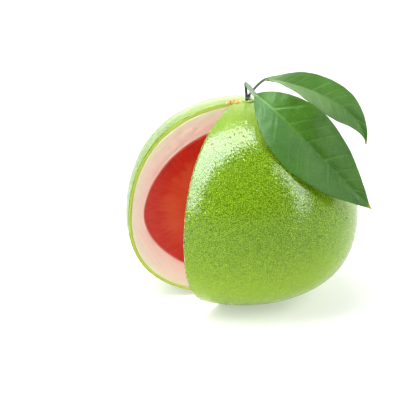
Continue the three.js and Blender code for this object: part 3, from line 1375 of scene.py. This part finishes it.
@dataclass
class Leaf:
    """One leaf: a blade on a curved midrib, on a thin stalk.

    The points of its midrib and its stalk are shares of its node's box.
    """

    node: str
    midrib: tuple[Triple, ...]
    stalk: tuple[Triple, ...]
    half_width: float
    base_law: float
    tip_law: float
    roll: Pair
    fold: float
    curl: float
    wing: float
    foot: Triple
    seed: int
    finish: LeafFinish
    side_veins: int = 9
    vein_width: float = 0.6 * MM
    rib_width: float = 0.5 * MM
    rib_depth: float = 0.62 * MM
    pucker: float = 0.55 * MM
    wave: float = 0.9 * MM
    wave_pitch: float = 34 * MM
    dimple: float = 0.16 * MM
    dimple_pitch: float = 9 * MM
    thickness: float = 0.5 * MM
    stalk_radius: float = 0.88 * MM
    foot_swell: float = 0.15 * MM
    rows: int = 190
    columns: int = 74
    stalk_rows: int = 90
    stalk_sides: int = 14
    curve: Array = field(init=False)
    length: float = field(init=False)

    def __post_init__(self) -> None:
        """Lays out the midrib's curve and finds its length."""
        a, b, c, d = self.place(self.midrib)
        u = np.linspace(0, 1, 1500)[:, None]
        v = 1 - u
        self.curve = v**3 * a + 3 * v**2 * u * b + 3 * v * u**2 * c + u**3 * d
        self.length = float(walked(self.curve)[-1])

    def place(self, shares: Sequence[Sequence[float]]) -> Array:
        """Points given as shares of the node's box."""
        low, high = (np.array(c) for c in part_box(self.node))
        return low + np.array(shares) * (high - low)

    def spine(self, s: Array) -> tuple[Array, Array]:
        """Points and directions of the midrib at shares of its length.

        Args:
            s: shares from 0 at the base to 1 at the tip.

        Returns:
            The points and the unit directions.
        """
        share = walked(self.curve) / self.length
        slope = np.gradient(self.curve, axis=0)
        points, ways = (
            np.stack([np.interp(s, share, line[:, k]) for k in range(3)], -1)
            for line in (self.curve, slope)
        )
        return points, unit(ways)

    def width_law(self, s: Array) -> Array:
        """Half-width of the blade at each share of its length."""
        peak = self.base_law / (self.base_law + self.tip_law)
        top = peak**self.base_law * (1 - peak) ** self.tip_law
        body = self.half_width * s**self.base_law * (1 - s) ** self.tip_law / top
        return body + (0.8 - 0.6 * s) * MM

    def veins(self, s: Array, v: Array) -> tuple[Array, Array]:
        """How near each point of the blade is to a vein.

        Args:
            s: share of the length.
            v: place across, from -1 to 1.

        Returns:
            Nearness to a side vein and to the midrib, each from 0 to 1.
        """
        reach = np.abs(v)
        side = np.where(v > 0, 0.35, 0.0)
        start = s - 0.15 * reach**1.25 * (1.1 - 0.5 * s)
        wander = 0.28 * np.sin(start * 17 + self.seed + 2 * side)
        count = start * (self.side_veins + 1) + side + wander
        nearest = np.round(count)
        off = np.abs(count - nearest) / (self.side_veins + 1) * self.length
        inside = smooth(0.02, 0.1, start) * (1 - smooth(0.88, 0.98, start))
        inside *= 1 - smooth(0.8, 0.97, reach)
        turn = nearest + np.where(v > 0, 40, 0)
        own = 0.5 + 0.5 * np.abs(np.sin(turn * 12.9898 + self.seed) * 7.3 % 1)
        side_vein = bell(off / self.vein_width) * inside * (1 - 0.5 * reach) * own
        rib = bell(reach * self.width_law(s) / ((1.0 - 0.75 * s) * self.rib_width))
        return side_vein, rib

    def relief(self, s: Array, v: Array, side_vein: Array) -> Array:
        """How far the middle of the blade's thickness stands off its flat frame.

        Args:
            s: share of the length.
            v: place across, from -1 to 1.
            side_vein: nearness to a side vein.

        Returns:
            The fold and curl, the puckers between the veins and the blade's waves.
        """
        reach = self.width_law(s) * v
        shape = np.abs(reach) * math.sin(self.fold) - self.curl * reach**2
        between = (1 - bell(reach / (2.2 * MM))) * (1 - np.abs(v) ** 3)
        puckers = self.pucker * (1 - side_vein * 1.6) * between * smooth(0.0, 0.12, s)
        flat = np.stack([s * self.length, reach, 0 * s], -1)
        waves = ripple(flat, self.wave_pitch, self.seed) * self.wave * v**2
        dimples = ripple(flat, self.dimple_pitch, self.seed + 1) * self.dimple
        waves, dimples = waves * smooth(0, 0.25, s), dimples * smooth(0, 0.1, s)
        return shape + puckers + waves + dimples

    def blade(self) -> Piece:
        """Lays the blade out as a thin closed sheet and puckers it between its veins."""
        v_line = np.sin(np.linspace(-math.pi / 2, math.pi / 2, self.columns) * 0.92)
        v_line /= v_line.max()
        s_line = np.linspace(0, 1, self.rows)
        s, v = (m.ravel() for m in np.meshgrid(s_line, v_line, indexing="ij"))
        spine, way = self.spine(s)
        roll = np.radians(self.roll[0] + (self.roll[1] - self.roll[0]) * s)[:, None]
        level = unit(np.cross((0.0, 0.0, 1.0), way))
        rise = np.cross(way, level)
        side = level * np.cos(roll) + rise * np.sin(roll)
        normal = rise * np.cos(roll) - level * np.sin(roll)
        side_vein, rib = self.veins(s, v)
        lift = self.relief(s, v, side_vein)
        centre = spine + side * (self.width_law(s) * v * math.cos(self.fold))[:, None]
        rim = 1 - np.clip((np.abs(v) - 0.955) / 0.045, 0, 1) ** 2
        half = self.thickness / 2 * (0.35 + 0.65 * rim)
        upper = lift + half + 0.16 * MM * rib
        lower = lift - half - self.rib_depth * rib * (1 - 0.6 * s) - 0.14 * MM * side_vein
        sheets = [centre + normal * up[:, None] for up in (upper, lower)]
        n = len(s)
        sheet = grid_faces(self.rows, self.columns)
        edge = grid_rim(self.rows, self.columns)
        below = [[n + i for i in reversed(f)] for f in sheet]
        faces = sheet + below + band(edge, [n + i for i in edge])
        vein = np.clip(side_vein * 0.6 + rib * (1 - 0.6 * s), 0, 1)
        # painted sheen: strongest on one half of the blade, near its base
        painted_sheen = smooth(0.06, -0.12, v) * (1 - smooth(0.1, 0.75, s) * 0.7)
        values = {
            "vein": np.tile(vein, 2),
            "along": np.tile(s, 2),
            "below": np.repeat([0.0, 1.0], n),
            "painted_sheen": np.tile(painted_sheen, 2),
        }
        name = self.node.replace("leaf", "blade")
        thing = mesh_object(name, joined(sheets), faces, values, merge=1e-7)
        return dressed(thing, self.finish.material())

    def stalk_line(self) -> Array:
        """Points of the stalk's smooth centre line, which ends a little way into the blade."""
        spine, _ = self.spine(np.array([0.03]))
        points = self.place(self.stalk)
        fixed = joined([points[:1] + self.foot, points, spine])
        padded = joined([[2 * fixed[0] - fixed[1]], fixed, [2 * fixed[-1] - fixed[-2]]])
        at = np.linspace(0, len(fixed) - 1, self.stalk_rows)
        k = np.minimum(at.astype(int), len(fixed) - 2)
        w = (at - k)[:, None]
        p0, p1, p2, p3 = (padded[k + m] for m in range(4))
        bend = (2 * p0 - 5 * p1 + 4 * p2 - p3) * w**2 + (3 * p1 - p0 - 3 * p2 + p3) * w**3
        return 0.5 * (2 * p1 + (p2 - p0) * w + bend)

    @staticmethod
    def across(way: Array) -> tuple[Array, Array]:
        """Level and rising directions across the stalk, with no twist where it stands upright."""
        level = np.cross((0.0, 0.0, 1.0), way)
        level[np.linalg.norm(level, axis=1) < 0.25] = 0
        for k in range(len(way) - 2, -1, -1):
            if not level[k].any():
                level[k] = level[k + 1] - way[k] * (level[k + 1] @ way[k])
        level = unit(level)
        return level[:, None], np.cross(way, level)[:, None]

    def stalk_piece(self) -> Piece:
        """Sweeps an oval along the stalk's line, round at its foot and flat where it is winged."""
        count, sides = self.stalk_rows, self.stalk_sides
        line = self.stalk_line()
        share = walked(line)
        share /= share[-1]
        level, rise = self.across(unit(np.gradient(line, axis=0)))
        is_winged = self.wing > 0
        round_part = self.stalk_radius + self.foot_swell * (1 - smooth(0.0, 0.12, share))
        winged = smooth(0.42, 0.55, share) * (1 - smooth(0.9, 1.0, share))
        broad = (round_part + self.wing * winged)[:, None, None]
        thick = (round_part * (1 - 0.3 * winged * is_winged))[:, None, None]
        turn = circle(sides)[:, None]
        ring = line[:, None] + level * broad * np.cos(turn) + rise * thick * np.sin(turn)
        vertices = joined([ring.reshape(-1, 3), line[:1], line[-1:]])
        foot, end = count * sides, count * sides + 1
        faces = grid_faces(count, sides, closed=True)
        faces += fan(range(sides), foot) + fan(range(foot - sides, foot), end)
        # painted highlight on the lit top of the wing
        pale = np.repeat(smooth(0.38, 0.48, share) * is_winged, sides)
        values = {
            "along": joined([np.repeat(share, sides), [0.0, 1.0]]),
            "pale": joined([pale, [0.0, pale[-1]]]),
        }
        name = self.node.replace("leaf", "stalk")
        thing = mesh_object(name, vertices, faces, values, merge=1e-7)
        return dressed(thing, StalkFinish(name).material())


FRONT_LEAF = Leaf(
    node="leaf_front",
    midrib=(
        (0.082, 0.615, 0.943),
        (0.286, 0.192, 0.887),
        (0.616, 0.159, 0.448),
        (0.996, 0.314, 0.003),
    ),
    stalk=(
        (0.017, 0.989, 0.833),
        (0.011, 0.982, 0.912),
        (0.008, 0.956, 0.967),
        (0.026, 0.859, 0.971),
        (0.054, 0.728, 0.955),
        (0.082, 0.615, 0.943),
    ),
    half_width=22.6 * MM,
    base_law=0.98,
    tip_law=1.18,
    roll=(46, 58),
    fold=math.radians(7),
    curl=3.0,
    wing=1.1 * MM,
    foot=(-0.1 * MM, -2.2 * MM, -1.5 * MM),
    seed=31,
    finish=LeafFinish("leaf_front"),
)
BACK_LEAF = Leaf(
    node="leaf_back",
    midrib=(
        (0.14, 0.406, 0.983),
        (0.503, 0.666, 0.862),
        (0.954, 0.379, 0.579),
        (0.992, 0.427, 0.001),
    ),
    stalk=(
        (0.008, 0.122, 0.784),
        (0.012, 0.131, 0.813),
        (0.04, 0.199, 0.862),
        (0.091, 0.299, 0.941),
        (0.14, 0.406, 0.983),
    ),
    half_width=17.4 * MM,
    base_law=0.89,
    tip_law=1.4,
    roll=(-5, 60),
    fold=math.radians(9.5),
    curl=3.4,
    wing=0.0,
    foot=(-0.2 * MM, -3.2 * MM, -1.5 * MM),
    seed=47,
    finish=LeafFinish(
        "leaf_back", deep="335c18", green="426d24", painted_sheen_colour="7d9a68", painted_sheen_share=0.5, base_painted_sheen=0.7
    ),
)


# ---------------------------------------------------------------- studio


@dataclass(frozen=True)
class Panel:
    """A soft rectangular light that faces the fruit, set out in fruit radii from its middle.

    Its long side follows the direction along, and a panel for shine only shows as a reflection.
    """

    name: str
    toward: Triple
    along: Triple
    size: Pair
    watts: float
    shine_only: bool = False

    def hang(self, middle: Vector, radius: float, shine: Triple) -> None:
        """Hangs the light.

        Args:
            middle: the middle of the fruit.
            radius: the fruit's radius.
            shine: the colour of a light for shine only.
        """
        data = bpy.data.lights.new(self.name, "AREA")
        data.shape = "RECTANGLE"
        data.size, data.size_y = (side * radius for side in self.size)
        data.energy = self.watts
        data.color = shine if self.shine_only else (1, 1, 1)
        out = Vector(self.toward).normalized()
        across = out.cross(Vector(self.along)).normalized()
        thing = add_object(self.name, data)
        thing.visible_diffuse = not self.shine_only
        thing.location = middle + Vector(self.toward) * radius
        turned = Matrix((across.cross(out), across, out)).transposed()
        thing.rotation_euler = turned.to_euler()


PANELS = (
    Panel("key", (-6.8, -2.9, 10.6), (0.71, 0.58, 0.41), (29, 6.9), 26),
    Panel("shine", (-6.7, -2.8, 10.4), (0.71, 0.58, 0.41), (29, 6.9), 40, shine_only=True),
    Panel("shine_core", (-5.6, -2.2, 10.2), (0.71, 0.58, 0.41), (10, 6), 6, shine_only=True),
    Panel("fill", (9.4, -5.2, 5.9), (-0.35, 0.1, 0.9), (10, 3), 4.2),
    Panel("strip", (9.2, -5.1, 5.8), (-0.35, 0.1, 0.9), (12, 3.2), 3, shine_only=True),
    Panel("backdrop", (-1, 16, 6.5), (1, 0, 0), (40, 13), 13),
    Panel("right", (14, 8, 5), (-0.5, 0.85, 0), (12, 8), 9),
)


@dataclass
class Studio:
    """A pale lit table, soft lights and the camera, all set out from the fruit's size."""

    form: FruitForm
    floor_half: float = 60
    floor_grey: float = 0.7
    glow: float = 0.35
    glow_from: Pair = (4, 20)
    cool: Triple = (0.84, 0.92, 1.0)
    ceiling: float = 0.15
    wall_top: Pair = (0.08, 0.2)
    elevation: float = 18.82
    distance: float = 21.83
    camera_height: float = 0.507
    lens: float = 227.7
    aim: Triple = (-0.3625, 0.0, 0.8312)

    def camera(self) -> None:
        """Stands a long-lens camera in front, looking down on the fruit a little left of it."""
        e = math.radians(self.elevation)
        r = self.form.radius
        data = bpy.data.cameras.new("camera")
        data.lens = self.lens
        data.clip_end = 100
        thing = add_object("camera", data)
        middle = Vector((0, 0, self.camera_height * self.form.height))
        thing.location = middle + Vector((0, -math.cos(e), math.sin(e))) * (self.distance * r)
        look = Vector(self.aim) * r - thing.location
        thing.rotation_euler = look.to_track_quat("-Z", "Y").to_euler()
        bpy.context.scene.camera = thing

    def floor(self) -> None:
        """Lays a wide pale floor under the fruit, which glows more the further out it lies."""
        r = self.form.radius
        half = self.floor_half * r
        spots = np.array([(-half, -half, 0), (half, -half, 0), (half, half, 0), (-half, half, 0)])
        thing = mesh_object("floor", spots, [[0, 1, 2, 3]])
        w = Paint("floor")
        length = w.add("ShaderNodeVectorMath", {0: w.place}, operation="LENGTH").outputs["Value"]
        near, far = (edge * r for edge in self.glow_from)
        looks = {
            "Base Color": (self.floor_grey, self.floor_grey, self.floor_grey, 1),
            "Roughness": 0.6,
            "Specular IOR Level": 0.2,
            "Emission Color": (1, 1, 1, 1),
            "Emission Strength": w.plus(
                w.times(w.ease(length, near, far), 1 - self.glow), self.glow
            ),
        }
        dressed(thing, w.done(looks))

    def surroundings(self) -> None:
        """Rings the table with a low white wall under a dim ceiling."""
        world = bpy.data.worlds.new("surroundings")
        world.use_nodes = True
        w = Wiring(world.node_tree)
        up = w.part(w.add("ShaderNodeTexCoord").outputs["Generated"], 2)
        wall = w.rest(w.ease(w.math("ABSOLUTE", up), *self.wall_top))
        strength = w.plus(w.times(wall, 1 - self.ceiling), self.ceiling)
        back = world.node_tree.nodes["Background"]
        w.feed(back, {"Color": (1, 1, 1, 1), "Strength": strength})
        bpy.context.scene.world = world

    def build(self) -> None:
        """Sets up camera, floor, lights and the white surroundings."""
        self.camera()
        self.floor()
        middle = Vector((0, 0, self.form.height / 2))
        for panel in PANELS:
            panel.hang(middle, self.form.radius, self.cool)
        self.surroundings()
        bpy.context.scene.view_settings.view_transform = "Standard"


# ---------------------------------------------------------------- everything together


def main() -> None:
    """Builds the studio and every piece, and logs each piece's size."""
    logging.basicConfig(level=logging.INFO, format="%(name)s: %(message)s")
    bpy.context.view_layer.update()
    form = FruitForm()
    Studio(form).build()

    rind = Rind(form)
    declare(rind.dress(rind.build()), "fruit")
    outline = FleshOutline(form)
    pith = Pith(form, outline)
    declare(pith.dress(pith.build()), "fruit")
    flesh_finish = FleshFinish().material()
    for cut in Cut:
        flesh = Flesh(form, outline, cut)
        declare(flesh.dress(flesh.build(), flesh_finish), "fruit")
    declare(CoreFibres(form).build(), "fruit")

    stem = Stem()
    declare(stem.dress(stem.build()), "stem")
    for leaf in (FRONT_LEAF, BACK_LEAF):
        declare(leaf.blade(), leaf.node)
        declare(leaf.stalk_piece(), leaf.node)


if __name__ == "__main__":
    main()
